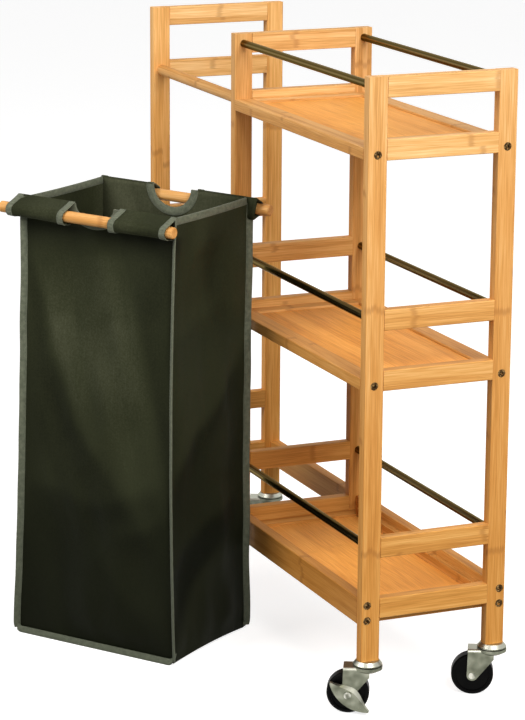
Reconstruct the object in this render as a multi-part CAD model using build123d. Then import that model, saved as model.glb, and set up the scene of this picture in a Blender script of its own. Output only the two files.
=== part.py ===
from build123d import *
import os
from math import cos, radians, sin

# Sizes in millimetres. X runs along the cart, Y from its front to its back, Z up from the floor.

# Ladder frames of bamboo
frame_width = 200.0
post_width = 25.0
stock_thick = 15.0  # posts and rungs along X
rung_height = 26.0
stock_round = 1.5  # softened long edges
shelf_bay = 403.0  # clear length between the middle and the right frame
bag_bay = 287.0  # clear length between the left and the middle frame
post_foot = 68.5  # height of the end posts' feet on their casters
low_shelf = 123.5  # undersides of the shelf rungs
mid_shelf = 416.5
top_shelf = 702.5
guard_rise = 76.0  # from a shelf rung to the guard rung above it
low_guard_rise = 79.0

# Joints in the bamboo
joint_gap = 0.1
tenon_length = 6.0
tenon_thick = 8.0
tenon_height = 18.0
pin_radius = 4.0
pin_depth = 6.0

# Shelves: flat rails above, upright aprons below, panels let in to them
rail_width = 25.0
rail_height = 15.0
apron_thick = 15.0
apron_height = 35.0
end_rail_width = 22.0
panel_thick = 8.0
panel_drop = 3.0  # from the end rails' tops down to the panel
panel_gap = 0.5  # open line round the panel's field
panel_tongue = 3.0
tongue_thick = 4.0
cleat_width = 9.0
cleat_rise = 12.0  # above the panel

# Steel guard rods and the round tie bar of the bag bay
rod_radius = 5.0
rod_seat = 8.0
tie_radius = 7.5
tie_seat = 6.0
tie_pin_radius = 5.0  # its turned-down ends
tie_level = 715.5

# Socket-head screws
head_radius = 4.9
head_height = 4.0
head_sink = 0.5  # head below the face of the post
head_gap = 0.4
screw_radius = 3.0
screw_length = 34.0
screw_pitch = 20.0  # between the two screws of an apron
hex_across = 5.0
hex_depth = 2.4

# Casters
caster_turn = 27.0  # swivel angle at rest
trail = 24.0
wheel_radius = 27.0
wheel_width = 21.0
tread_round = 3.5
rim_radius = 22.0
recess_depth = 2.0
hub_radius = 8.0
hub_width = 22.6
axle_radius = 3.0
axle_head_radius = 4.5
axle_head = 1.5
dimple_radius = 2.0
dimple_depth = 0.8
running_gap = 0.05
end_gap = 0.3
fork_gap = 24.0
fork_plate = 2.0
fork_bend = 4.0
fork_boss = 7.0
fork_nose = 3.0  # crown ahead of the stem
fork_nose_depth = 12.5
fork_tail = 30.0  # crown behind the stem
crown_top = 61.5
dish_radius = 19.0
dish_rim = 4.0
dish_depth = 7.5
dish_foot_radius = 13.0
cup_radius = 18.5
cup_top_radius = 15.0
cup_lip = 1.3
cup_clear = 1.0  # lip above the race that turns on the crown
race_radius = 14.0
stem_radius = 4.0
stem_length = 30.0
king_pin_radius = 4.0
king_head_radius = 6.5
king_head = 1.5

# Brake levers, pressed from sheet
lever_tail = 29.5  # axle to the raised tip
lever_toe = 37.0  # axle to the low tip
lever_pitch = 37.5
lever_upper = 11.0  # hump above the chord at the fork
lever_crest = 6.5  # hump above the chord at the outer face
lever_lower = 13.0
lever_depth = 5.0
lever_sheet = 1.5
lever_tip_round = 1.5
lever_boss = 5.5
lever_dot = 1.5  # pressed dots beside the axle
lever_dot_rise = 0.4
lever_dot_drop = 5.0  # below the chord
tail_dot = 11.5  # from the axle towards each tip
toe_dot = 22.5

# Laundry bag, standing in front of the cart, and its dowels
bag_x = -40.0  # bag's middle along the cart
bag_gap = 11.0  # from the bag's nearest floor corner to the cart's front
bag_turn = 35.0
bag_length = 252.0
bag_depth = 172.0
bag_height = 600.0  # at the rim's middle
bag_cloth = 3.0
rim_length = 232.0
rim_shift = 13.0  # rim's middle to the right of the floor's, as the left end leans in
rim_tilt = 1.2  # rim falls towards its right end
hand_hole_width = 62.0
back_hole_depth = 28.0
front_hole_depth = 20.0  # less is seen where the front rim rolls out over its dowel
dowel_radius = 7.5
dowel_length = 272.0
dowel_bevel = 1.0
dowel_out = 12.0  # dowel's axis outside the wall
dowel_drop = 15.5  # dowel's axis below the rim
front_dowel_shift = -12.5  # from the rim's middle
back_dowel_shift = 9.0
sleeve_gap = 0.3
sleeve_cloth = 2.2
sleeve_seam = 27.0  # stitched line below the rim
sleeve_span = 248.0  # over both sleeves of a wall
sleeve_hand_gap = 36.0  # sleeve's end beside the middle of the hand hole
front_sleeve_shift = -10.0  # from the rim's middle
back_sleeve_shift = 2.5
front_hole_shift = -8.5
back_hole_shift = -2.0

# Places that follow from these
cart_length = 3 * stock_thick + shelf_bay + bag_bay
left_x = (stock_thick - cart_length) / 2
middle_x = left_x + stock_thick + bag_bay
right_x = middle_x + stock_thick + shelf_bay
bag_start = left_x + stock_thick / 2
bag_end = middle_x - stock_thick / 2
shelf_start = middle_x + stock_thick / 2
shelf_end = right_x - stock_thick / 2
left_face = left_x - stock_thick / 2
right_face = right_x + stock_thick / 2
shelf_x = (shelf_start + shelf_end) / 2
bay_x = (bag_start + bag_end) / 2
rung_span = frame_width - 2 * post_width
post_y = (frame_width - post_width) / 2
rail_y = (frame_width - rail_width) / 2
apron_y = (frame_width - apron_thick) / 2
shelf_levels = [low_shelf, mid_shelf, top_shelf]
guard_levels = [low_shelf + low_guard_rise, mid_shelf + guard_rise, top_shelf + guard_rise]
post_top = top_shelf + guard_rise + rung_height
apron_base = low_shelf + rung_height - apron_height
apron_middle = apron_base + apron_height / 2
apron_fixings = [apron_middle - screw_pitch / 2, apron_middle + screw_pitch / 2]
bag_reach = (bag_length * sin(radians(bag_turn)) + bag_depth * cos(radians(bag_turn))) / 2
bag_y = -frame_width / 2 - bag_gap - bag_reach

nodes = {}


def bar(size_x, size_y, size_z, run):
    block = Box(size_x, size_y, size_z)
    return fillet(block.edges().filter_by(run), stock_round)


def along_x(radius, start, end, y, z):
    return Pos((start + end) / 2, y, z) * Rot(0, 90, 0) * Cylinder(radius, abs(end - start))


def turned(*points):
    return revolve(Plane.XZ * make_face(Polyline(*points, close=True)), Axis.Z)


# Rungs and the tenons that enter the posts
def tenon(x, base, gap):
    size_y = rung_span + 2 * (tenon_length + gap)
    block = Box(tenon_thick + 2 * gap, size_y, tenon_height + 2 * gap)
    return Pos(x, 0, base + rung_height / 2) * block


def rung(x, base):
    body = Pos(x, 0, base + rung_height / 2) * bar(stock_thick, rung_span, rung_height, Axis.Y)
    return body + tenon(x, base, 0)


# Guard rods and tie bar, with the bores that seat them
def guard_rod(y, level, gap):
    z = level + rung_height / 2
    return along_x(rod_radius + gap, shelf_start - rod_seat - gap, shelf_end + rod_seat + gap, y, z)


def tie_pins(gap):
    reach = tie_seat + gap
    return along_x(tie_pin_radius + gap, bag_start - reach, bag_end + reach, -post_y, tie_level)


def tie_bar():
    return along_x(tie_radius, bag_start, bag_end, -post_y, tie_level) + tie_pins(0)


# Screws through the outer faces of the end frames
def screw(face, out, y, z):
    seat = face - out * (head_sink + head_height)
    head = along_x(head_radius, face - out * head_sink, seat, y, z)
    shank = along_x(screw_radius, seat, seat - out * screw_length, y, z)
    hexagon = Pos(face - out * head_sink, y, z) * Rot(0, 90, 0)
    key = hexagon * extrude(RegularPolygon(hex_across / 2, 6, major_radius=False), hex_depth, both=True)
    return head + shank - key


def screw_hole(face, out, y, z):
    seat = face - out * (head_sink + head_height)
    head = along_x(head_radius + head_gap, face + out * head_sink, seat, y, z)
    end = seat - out * (screw_length + joint_gap)
    return head + along_x(screw_radius + joint_gap, seat, end, y, z)


# Pins on the bars' ends that enter the middle frame
def pins(face, into, y, levels, gap):
    return [along_x(pin_radius + gap, face, face + into * (pin_depth + gap), y, z) for z in levels]


screw_places = []
pin_places = []
for side in (-1, 1):
    for level in (mid_shelf, top_shelf):
        middle = [level + rail_height / 2]
        screw_places += [(right_face, 1, side * rail_y, z) for z in middle]
        pin_places.append((shelf_start, -1, side * rail_y, middle))
    screw_places += [(right_face, 1, side * apron_y, z) for z in apron_fixings]
    screw_places += [(left_face, -1, side * apron_y, z) for z in apron_fixings]
    pin_places.append((shelf_start, -1, side * apron_y, apron_fixings))
    pin_places.append((bag_end, 1, side * apron_y, apron_fixings))
screw_places.append((left_face, -1, -post_y, tie_level))
screw_bores = [screw_hole(*place) for place in screw_places]

# Posts, with every mortise, bore and screw hole
rod_bores = [guard_rod(side * post_y, level, joint_gap) for side in (-1, 1) for level in guard_levels]
pin_bores = [bore for place in pin_places for bore in pins(*place, joint_gap)]
for frame, x in (("left", left_x), ("middle", middle_x), ("right", right_x)):
    mortises = [tenon(x, base, joint_gap) for base in shelf_levels + guard_levels]
    foot = apron_base if frame == "middle" else post_foot
    for name, side in (("front", -1), ("back", 1)):
        place = Pos(x, side * post_y, (foot + post_top) / 2)
        blank = place * bar(stock_thick, post_width, post_top - foot, Axis.Z)
        stem_bore = Pos(x, side * post_y, post_foot) * Cylinder(stem_radius + joint_gap, 2 * stem_length)
        cuts = mortises + rod_bores + pin_bores + screw_bores + [tie_pins(joint_gap)]
        cuts += [] if frame == "middle" else [stem_bore]
        nodes[f"{frame}_{name}_post"] = blank - cuts
    nodes[f"{frame}_shelf_rungs"] = Compound([rung(x, base) for base in shelf_levels])
    nodes[f"{frame}_guard_rungs"] = Compound([rung(x, base) for base in guard_levels])


# Shelves: two side bars and two end rails grooved for the tongue of an inset panel
def panel_tongues(base, side_width, gap):
    size_x = shelf_bay - 2 * end_rail_width + 2 * (panel_tongue + gap)
    size_y = frame_width - 2 * side_width + 2 * (panel_tongue + gap)
    z = base + rail_height - panel_drop - panel_thick + tongue_thick / 2
    return Pos(shelf_x, 0, z) * Box(size_x, size_y, tongue_thick + 2 * gap)


def shelf_panel(base, side_width, cleats):
    size_x = shelf_bay - 2 * (end_rail_width + panel_gap)
    size_y = frame_width - 2 * (side_width + cleats + panel_gap)
    z = base + rail_height - panel_drop - panel_thick / 2
    return Pos(shelf_x, 0, z) * Box(size_x, size_y, panel_thick) + panel_tongues(base, side_width, 0)


def side_bar(x, length, side, width, height, base):
    y = side * (frame_width - width) / 2
    return Pos(x, y, base + height / 2) * bar(length, width, height, Axis.X)


def shelf(name, base, side_width, side_height, cleats, fixings):
    groove = panel_tongues(base, side_width, joint_gap)
    for end, side in (("front", -1), ("back", 1)):
        blank = side_bar(shelf_x, shelf_bay, side, side_width, side_height, base)
        y = side * (frame_width - side_width) / 2
        blank = blank + pins(shelf_start, -1, y, fixings, 0)
        nodes[f"{name}_shelf_{end}_rail"] = blank - [groove] - screw_bores
    rails = []
    for x, into in ((shelf_start, 1), (shelf_end, -1)):
        block = Box(end_rail_width, frame_width - 2 * side_width, rail_height)
        rails.append(Pos(x + into * end_rail_width / 2, 0, base + rail_height / 2) * block - groove)
    nodes[f"{name}_shelf_end_rails"] = Compound(rails)
    nodes[f"{name}_shelf_panel"] = shelf_panel(base, side_width, cleats)


shelf("top", top_shelf, rail_width, rail_height, 0, [top_shelf + rail_height / 2])
shelf("middle", mid_shelf, rail_width, rail_height, 0, [mid_shelf + rail_height / 2])
shelf("bottom", apron_base, apron_thick, apron_height, cleat_width, apron_fixings)

# Cleats that lie on the bottom panel's tongue along the aprons
cleat_height = panel_thick - tongue_thick + cleat_rise
cleat_y = frame_width / 2 - apron_thick - cleat_width / 2
cleat_z = apron_base + rail_height - panel_drop + cleat_rise - cleat_height / 2
cleat = Box(shelf_bay - 2 * end_rail_width, cleat_width, cleat_height)
nodes["bottom_shelf_cleats"] = Compound([Pos(shelf_x, side * cleat_y, cleat_z) * cleat for side in (-1, 1)])

# Guard rods in pairs, tie bar, bottom rails of the bag bay, screws
for name, level in zip(("bottom", "middle", "top"), guard_levels):
    nodes[f"{name}_guard_rods"] = Compound([guard_rod(side * post_y, level, 0) for side in (-1, 1)])
nodes["bag_bay_tie_bar"] = tie_bar() - screw_bores
for name, side in (("front", -1), ("back", 1)):
    rail = side_bar(bay_x, bag_bay, side, apron_thick, apron_height, apron_base)
    rail = rail + pins(bag_end, 1, side * apron_y, apron_fixings, 0)
    nodes[f"bag_bay_{name}_rail"] = rail - screw_bores
nodes["frame_screws"] = Compound([screw(*place) for place in screw_places])


# Caster pieces, with the stem on the Z axis, the wheel trailing along -Y and its axle along X
def caster_socket():
    race_z = crown_top + end_gap
    lip_z = race_z + cup_clear
    king_z = crown_top - dish_depth - end_gap
    stem = Pos(0, 0, post_foot + stem_length / 2) * Cylinder(stem_radius, stem_length)
    cup = turned(
        (0, post_foot), (cup_top_radius, post_foot), (cup_radius, lip_z + cup_lip), (cup_radius, lip_z),
        (race_radius, lip_z), (race_radius, race_z), (king_pin_radius, race_z), (king_pin_radius, king_z),
        (king_head_radius, king_z), (king_head_radius, king_z - king_head), (0, king_z - king_head))
    return stem + cup


def caster_fork():
    half = fork_gap / 2 + fork_plate
    boss = Pos(-trail, wheel_radius) * Circle(fork_boss)
    nose_foot = crown_top - fork_nose_depth
    crown = Polyline((fork_nose, nose_foot), (fork_nose, crown_top), (-fork_tail, crown_top))
    side = make_hull(boss.edges() + crown.edges())
    shell = extrude(Plane.YZ * side, half, both=True)
    shell = fillet(shell.edges().filter_by(Axis.Y).group_by(Axis.Z)[-1], fork_bend)
    reach = 2 * (trail + wheel_radius)
    room = Pos(0, 0, (crown_top - fork_plate) / 2) * Box(fork_gap, reach, crown_top - fork_plate)
    room = fillet(room.edges().filter_by(Axis.Y).group_by(Axis.Z)[-1], fork_bend - fork_plate)
    dish = turned(
        (0, crown_top), (dish_radius, crown_top), (dish_radius, crown_top - dish_rim),
        (dish_foot_radius, crown_top - dish_depth), (0, crown_top - dish_depth))
    king_bore = Pos(0, 0, crown_top) * Cylinder(king_pin_radius + running_gap, 3 * dish_depth)
    axle_bore = along_x(axle_radius, -2 * half, 2 * half, -trail, wheel_radius)
    return shell - room + dish - king_bore - axle_bore


def caster_axle(braked):
    half = fork_gap / 2 + fork_plate
    outer = half + (lever_depth + 2 * end_gap if braked else 0)
    axle = along_x(axle_radius, -half, outer, -trail, wheel_radius)
    for face, out in ((-half, -1), (outer, 1)):
        tip = face + out * axle_head
        axle += along_x(axle_head_radius, face, tip, -trail, wheel_radius)
        axle -= along_x(dimple_radius, tip - out * dimple_depth, tip, -trail, wheel_radius)
    return axle


def caster_wheel():
    tyre = fillet(Cylinder(wheel_radius, wheel_width).edges(), tread_round)
    for side in (-1, 1):
        tyre -= Pos(0, 0, side * wheel_width / 2) * Cylinder(rim_radius, 2 * recess_depth)
    wheel = tyre + Cylinder(hub_radius, hub_width) - Cylinder(axle_radius + running_gap, 2 * hub_width)
    return Pos(0, -trail, wheel_radius) * Rot(0, 90, 0) * wheel


# Outline of the brake lever, seen from the side: a hump with drawn-out tips over a full arc
lever_along = Vector(-cos(radians(lever_pitch)), sin(radians(lever_pitch)))
lever_across = Vector(lever_along.Y, -lever_along.X)
lever_axle = Vector(-trail, wheel_radius)


def leaf(upper, lower, trim):
    tail = lever_axle + lever_along * (lever_tail - trim)
    toe = lever_axle - lever_along * (lever_toe - trim)
    middle = (tail + toe) * 0.5
    top = Spline(tail, middle + lever_across * upper, toe, tangents=(-lever_along, -lever_along))
    foot = ThreePointArc(toe, middle - lever_across * lower, tail)
    face = make_face([top, foot])
    return fillet(face.vertices(), lever_tip_round)


def brake_lever():
    start = fork_gap / 2 + fork_plate + end_gap
    crest = leaf(lever_crest, lever_lower, 0)
    foot = leaf(lever_upper, lever_lower, 0)
    pressing = loft([Plane.YZ.offset(start) * foot, Plane.YZ.offset(start + lever_depth) * crest])
    inside = leaf(lever_crest - lever_sheet, lever_lower - lever_sheet, 2 * lever_sheet)
    pressing -= extrude(Plane.YZ.offset(start) * inside, lever_depth - lever_sheet)
    pressing += along_x(lever_boss, start, start + lever_depth, -trail, wheel_radius)
    for reach in (tail_dot, -toe_dot):
        spot = lever_axle + lever_along * reach - lever_across * lever_dot_drop
        face = start + lever_depth
        pressing += along_x(lever_dot, face - lever_depth / 2, face + lever_dot_rise, spot.X, spot.Y)
    return pressing - along_x(axle_radius + running_gap, 0, start + 2 * lever_depth, -trail, wheel_radius)


for frame, x in (("left", left_x), ("right", right_x)):
    for name, side in (("front", -1), ("back", 1)):
        braked = name == "front"
        place = Pos(x, side * post_y, 0) * Rot(0, 0, -caster_turn)
        nodes[f"{frame}_{name}_caster_socket"] = place * caster_socket()
        nodes[f"{frame}_{name}_caster_fork"] = place * caster_fork()
        nodes[f"{frame}_{name}_caster_axle"] = place * caster_axle(braked)
        nodes[f"{frame}_{name}_caster_wheel"] = place * caster_wheel()
        if braked:
            nodes[f"{frame}_{name}_brake_lever"] = place * brake_lever()

# Laundry bag, front wall towards -Y before it is turned; its rim leans and tilts on the floor's outline
bag_place = Pos(bag_x, bag_y, 0) * Rot(0, 0, bag_turn)
rim_place = Pos(rim_shift, 0, bag_height) * Rot(0, rim_tilt, 0)


def bag_corners(length, inset):
    x = length / 2 - inset
    y = bag_depth / 2 - inset
    return [(-x, -y), (x, -y), (x, y), (-x, y)]


def between(floor_points, rim_points):
    floor_face = make_face(Polyline(*floor_points, close=True))
    rim_face = make_face(Polyline(*rim_points, close=True))
    return loft([floor_face, rim_place * rim_face], ruled=True)


# One wall of cloth, mitred where it meets its neighbours: front, right, back, left
def wall(index):
    rings = []
    for length in (bag_length, rim_length):
        outer = bag_corners(length, 0)
        inner = bag_corners(length, bag_cloth)
        after = (index + 1) % 4
        rings.append([outer[index], outer[after], inner[after], inner[index]])
    return between(*rings)


# Sleeves, dowels and hand hole are placed from the rim's middle
def bag_dowel(shift, side, gap):
    start = shift - dowel_length / 2
    end = shift + dowel_length / 2
    return along_x(dowel_radius + gap, start, end, side * (bag_depth / 2 + dowel_out), -dowel_drop)


def rounded_dowel(shift, side):
    dowel = bag_dowel(shift, side, 0)
    return rim_place * chamfer(dowel.edges().filter_by(GeomType.CIRCLE), dowel_bevel)


def sleeve(start, end, side):
    centre = Pos(side * (bag_depth / 2 + dowel_out), -dowel_drop)
    loop = centre * Circle(dowel_radius + sleeve_gap + sleeve_cloth)
    face = side * bag_depth / 2
    seam = Polyline((face, 0), (face, -sleeve_seam))
    outline = make_hull(loop.edges() + seam.edges())
    return Pos(start, 0, 0) * extrude(Plane.YZ * outline, end - start, dir=(1, 0, 0))


def long_wall(index, side, sleeve_shift, hole_shift, hole_depth):
    hole = extrude(Plane.XZ * Ellipse(hand_hole_width / 2, hole_depth), bag_depth, both=True)
    panel = wall(index) - rim_place * Pos(hole_shift, 0, 0) * hole
    panel += rim_place * sleeve(sleeve_shift - sleeve_span / 2, hole_shift - sleeve_hand_gap, side)
    panel += rim_place * sleeve(hole_shift + sleeve_hand_gap, sleeve_shift + sleeve_span / 2, side)
    return panel - rim_place * bag_dowel(0, side, sleeve_gap)


inside = between(bag_corners(bag_length, bag_cloth), bag_corners(rim_length, bag_cloth))
front_wall = long_wall(0, -1, front_sleeve_shift, front_hole_shift, front_hole_depth)
back_wall = long_wall(2, 1, back_sleeve_shift, back_hole_shift, back_hole_depth)
nodes["bag_front_panel"] = bag_place * front_wall
nodes["bag_back_panel"] = bag_place * back_wall
nodes["bag_right_panel"] = bag_place * wall(1)
nodes["bag_left_panel"] = bag_place * wall(3)
nodes["bag_bottom_panel"] = bag_place * (inside & Box(bag_length, bag_depth, 2 * bag_cloth))
nodes["bag_front_dowel"] = bag_place * rounded_dowel(front_dowel_shift, -1)
nodes["bag_back_dowel"] = bag_place * rounded_dowel(back_dowel_shift, 1)

# The origin is the middle of the whole footprint, on the floor
extent = Compound(list(nodes.values())).bounding_box()
origin_x = (extent.min.X + extent.max.X) / 2
origin_y = (extent.min.Y + extent.max.Y) / 2
os.makedirs("parts", exist_ok=True)
for name, shape in nodes.items():
    export_step(Pos(-origin_x, -origin_y, 0) * shape, f"parts/{name}.step")
print(len(nodes), "nodes, origin", round(origin_x, 3), round(origin_y, 3), extent.size)
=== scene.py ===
import bmesh
import bpy
import math
from mathutils import Matrix, Vector, noise


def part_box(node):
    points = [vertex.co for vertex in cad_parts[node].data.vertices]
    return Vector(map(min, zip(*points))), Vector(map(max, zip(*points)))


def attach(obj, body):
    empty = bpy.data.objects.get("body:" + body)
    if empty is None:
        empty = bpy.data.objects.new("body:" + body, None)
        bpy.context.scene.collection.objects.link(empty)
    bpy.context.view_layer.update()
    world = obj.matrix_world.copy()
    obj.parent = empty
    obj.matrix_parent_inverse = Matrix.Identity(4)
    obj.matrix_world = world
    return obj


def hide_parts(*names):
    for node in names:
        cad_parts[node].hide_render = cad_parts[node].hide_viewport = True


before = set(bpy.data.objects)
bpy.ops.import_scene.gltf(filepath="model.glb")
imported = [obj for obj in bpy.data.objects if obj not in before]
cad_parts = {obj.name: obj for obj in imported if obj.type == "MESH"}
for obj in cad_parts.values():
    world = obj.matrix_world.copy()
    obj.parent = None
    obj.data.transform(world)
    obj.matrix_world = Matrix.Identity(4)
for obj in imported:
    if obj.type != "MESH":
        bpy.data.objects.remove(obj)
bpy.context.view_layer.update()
print("frame loaded:", len(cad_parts), "nodes")


def tone(red, green, blue):  # a colour as seen on screen, 0 to 255, as linear light
    parts = [part / 255 for part in (red, green, blue)]
    linear = [part / 12.92 if part <= 0.04045 else ((part + 0.055) / 1.055) ** 2.4 for part in parts]
    return (*linear, 1.0)


class Sock:  # a node's output that takes part in sums
    def __init__(self, nodes, socket):
        self.nodes = nodes
        self.socket = socket

    def also(self, name):  # another output of the same node
        return Sock(self.nodes, self.socket.node.outputs[name])

    def math(self, operation, *values):
        return self.nodes.add("ShaderNodeMath", {"operation": operation}, dict(enumerate(values)))

    def __add__(self, other):
        return self.math("ADD", self, other)

    def __radd__(self, other):
        return self.math("ADD", other, self)

    def __sub__(self, other):
        return self.math("SUBTRACT", self, other)

    def __rsub__(self, other):
        return self.math("SUBTRACT", other, self)

    def __mul__(self, other):
        return self.math("MULTIPLY", self, other)

    def __rmul__(self, other):
        return self.math("MULTIPLY", other, self)

    def __truediv__(self, other):
        return self.math("DIVIDE", self, other)

    def __abs__(self):
        return self.math("ABSOLUTE", self)

    def floor(self):
        return self.math("FLOOR", self)

    def fraction(self):
        return self.math("FRACT", self)

    def sine(self):
        return self.math("SINE", self)

    def most(self, other):
        return self.math("MAXIMUM", self, other)


class Nodes:  # a node tree that grows by add
    def __init__(self, tree):
        self.tree = tree

    def add(self, kind, settings, inputs, output=0):
        node = self.tree.nodes.new(kind)
        for name, value in settings.items():
            if name == "stops":
                for index, (place, colour) in enumerate(value):
                    stop = node.color_ramp.elements
                    stop = stop[index] if index < len(stop) else stop.new(place)
                    stop.position = place
                    stop.color = colour
            else:
                setattr(node, name, value)
        for name, value in inputs.items():
            self.feed(node.inputs[name], value)
        return Sock(self, node.outputs[output])

    def feed(self, socket, value):
        if isinstance(value, Sock):
            self.tree.links.new(value.socket, socket)
        else:
            socket.default_value = value

    def axes(self, vector):
        first = self.add("ShaderNodeSeparateXYZ", {}, {0: vector}, "X")
        return {"X": first, "Y": first.also("Y"), "Z": first.also("Z")}

    def vector(self, x, y, z):
        return self.add("ShaderNodeCombineXYZ", {}, {0: x, 1: y, 2: z})

    def cloud(self, vector, scale, detail):  # soft noise round 0.5
        return self.add("ShaderNodeTexNoise", {}, {"Vector": vector, "Scale": scale, "Detail": detail})

    def step(self, value, low, high, first=0.0, last=1.0):  # smooth change between two limits
        limits = {0: value, 1: low, 2: high, 3: first, 4: last}
        return self.add("ShaderNodeMapRange", {"interpolation_type": "SMOOTHSTEP"}, limits)

    def ramp(self, value, stops):
        return self.add("ShaderNodeValToRGB", {"stops": stops}, {0: value})

    def mix(self, share, first, second, way="MIX"):
        settings = {"data_type": "RGBA", "blend_type": way}
        return self.add("ShaderNodeMix", settings, {0: share, 6: first, 7: second}, 2)


class Paint(Nodes):  # one material, finished by its nodes
    def __init__(self, name, fixed):
        self.material = bpy.data.materials.new(name)
        self.material.use_nodes = True
        super().__init__(self.material.node_tree)
        self.shader = self.tree.nodes["Principled BSDF"]
        self.dress(fixed)

    def dress(self, values):
        for name, value in values.items():
            self.feed(self.shader.inputs[name], value)

    def place(self, kind="Object"):
        return self.add("ShaderNodeTexCoord", {}, {}, kind)

    def bump(self, height, strength, distance, broad=None):  # fine relief, on broad folds if there are any
        relief = {"Strength": strength, "Distance": distance, "Height": height}
        if broad:
            folds, deep = broad
            below = {"Strength": 1.0, "Distance": deep, "Height": folds}
            relief["Normal"] = self.add("ShaderNodeBump", {}, below)
        self.dress({"Normal": self.add("ShaderNodeBump", {}, relief)})


bambooLook = {
    "knuckleGap": 0.31,  # between the knots of a cane
    "knuckleHalf": 0.0065,
    "knuckleLane": 0.023,  # a knot shows across this width
    "knuckleSoft": 0.001,
    "fibreLength": 20.0,
    "fibreFine": 900.0,
    "fibreShare": 1.1,  # how far the fibres change the colour
    "broadLength": 5.0,
    "broadFine": 60.0,
    "broadShare": 0.5,
    "waver": 0.011,  # knots aren't cut straight
    "dark": tone(169, 106, 39),
    "middle": tone(206, 142, 66),
    "light": tone(227, 172, 97),
    "knuckle": tone(142, 82, 30),
    "upper": (0.05, 0.65, (1.09, 1.2, 1.64, 1.0)),  # painted light: paler between two heights
    "top": (0.62, 0.8, (1.06, 1.17, 1.44, 1.0)),
}


def bambooPaint(name, run, strip, streak, gain, pale, knots, turn=0.0):
    look = bambooLook
    paint = Paint(name, {"Specular IOR Level": 0.18})
    place = paint.place()
    if turn:
        place = paint.add("ShaderNodeMapping", {}, {"Vector": place, "Rotation": (0, 0, -turn)})
    axes = paint.axes(place)
    height = axes["Z"]
    along = axes.pop(run)
    first, second = axes.values()
    lane = paint.vector((first / strip).floor(), (second / strip).floor(), 0.5)
    lot = paint.add("ShaderNodeTexWhiteNoise", {"noise_dimensions": "3D"}, {"Vector": lane})
    width = look["knuckleLane"]
    cane = paint.vector((first / width).floor(), (second / width).floor(), 3.5)
    knot = paint.add("ShaderNodeTexWhiteNoise", {"noise_dimensions": "3D"}, {"Vector": cane})
    fine = paint.vector(along * look["fibreLength"], first * look["fibreFine"], second * look["fibreFine"])
    fibre = paint.cloud(fine, 1.0, 3.0)
    wide = paint.vector(along * look["broadLength"], first * look["broadFine"], second * look["broadFine"])
    broad = paint.cloud(wide, 1.0, 2.0)
    waver = (fibre - 0.5) * look["waver"]
    turns = (along / look["knuckleGap"] + knot * 7.3 + lot * 0.02).fraction()
    away = abs((turns - 0.5) * look["knuckleGap"] + waver)
    knuckle = paint.step(away, look["knuckleSoft"], look["knuckleHalf"], 1.0, 0.0) * (0.3 + fibre)
    level = 0.5 + (lot - 0.5) * streak
    level = level + (fibre - 0.5) * look["fibreShare"] + (broad - 0.5) * look["broadShare"]
    wood = paint.ramp(level, [(0.05, look["dark"]), (0.5, look["middle"]), (0.95, look["light"])])
    colour = paint.mix(knuckle * knots, wood, look["knuckle"])
    # painted light: the upper parts are made paler, as where the light falls more strongly from above
    for low, high, lift in (look["upper"], look["top"]):
        colour = paint.mix(paint.step(height, low, high) * pale, colour, lift, "MULTIPLY")
    # the gain carries painted light on the left frame and painted shade on the front bottom rail
    colour = paint.mix(1.0, colour, (*gain, 1.0), "MULTIPLY")
    paint.dress({"Base Color": colour, "Roughness": 0.48 + fibre * 0.16})
    paint.bump(fibre + knuckle * 0.5, 0.1, 0.0004)
    return paint.material


steelReflectionBands = [(0.0, tone(84, 64, 36)), (0.42, tone(62, 52, 36)), (0.62, tone(136, 118, 82)),
              (0.78, tone(72, 62, 44)), (1.0, tone(100, 86, 60))]  # painted reflection: a round bar mirrors the room in bands


def steelPaint():
    paint = Paint("polishedSteel", {"Metallic": 1.0, "Specular Tint": (0.68, 0.6, 0.45, 1.0)})
    axes = paint.axes(paint.place())
    drawn = paint.cloud(paint.vector(axes["X"] * 30.0, axes["Y"] * 1500.0, axes["Z"] * 1500.0), 1.0, 2.0)
    # painted reflection and highlight: the colour follows how far a face looks up or down
    facing = paint.axes(paint.place("Normal"))["Z"]
    colour = paint.ramp(facing * 0.5 + 0.5 + (drawn - 0.5) * 0.08, steelReflectionBands)
    paint.dress({"Base Color": colour, "Roughness": 0.17 + drawn * 0.12})
    return paint.material


zincPaintedLightBands = {  # painted light, shade and highlights, from faces that look down to faces that look up
    "plate": [(0.1, tone(46, 47, 38)), (0.44, tone(84, 87, 74)), (0.52, tone(118, 121, 106)),
              (0.62, tone(172, 173, 158)), (1.0, tone(184, 184, 172))],
    "rivet": [(0.3, tone(36, 36, 30)), (0.47, tone(62, 64, 54)), (0.5, tone(122, 124, 112)),
              (0.53, tone(196, 196, 186)), (1.0, tone(226, 226, 216))],
}


def zincPaint(name, bands):
    paint = Paint(name, {"Metallic": 1.0, "Specular Tint": (0.8, 0.8, 0.72, 1.0)})
    place = paint.place()
    cast = paint.cloud(place, 75.0, 1.5)
    spots = paint.cloud(place, 900.0, 2.0)
    # painted light and shade: faces that look up are lighter, faces that look down darker
    facing = paint.axes(paint.place("Normal"))["Z"]
    colour = paint.ramp(facing * 0.5 + 0.5 + (cast - 0.5) * 0.26, bands)
    paint.dress({"Base Color": colour, "Roughness": 0.25 + cast * 0.14 + spots * 0.06})
    paint.bump(spots, 0.05, 0.0002)
    return paint.material


def wheelPaint():
    paint = Paint("blackWheel", {"Specular IOR Level": 0.05})
    place = paint.place()
    grain = paint.cloud(place, 1400.0, 2.0)
    dust = paint.step(paint.cloud(place, 55.0, 3.0), 0.5, 0.75)
    colour = paint.ramp(dust, [(0.0, tone(3, 3, 3)), (1.0, tone(10, 10, 9))])
    paint.dress({"Base Color": colour, "Roughness": 0.36 + dust * 0.25})
    paint.bump(grain, 0.06, 0.0002)
    return paint.material


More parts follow.
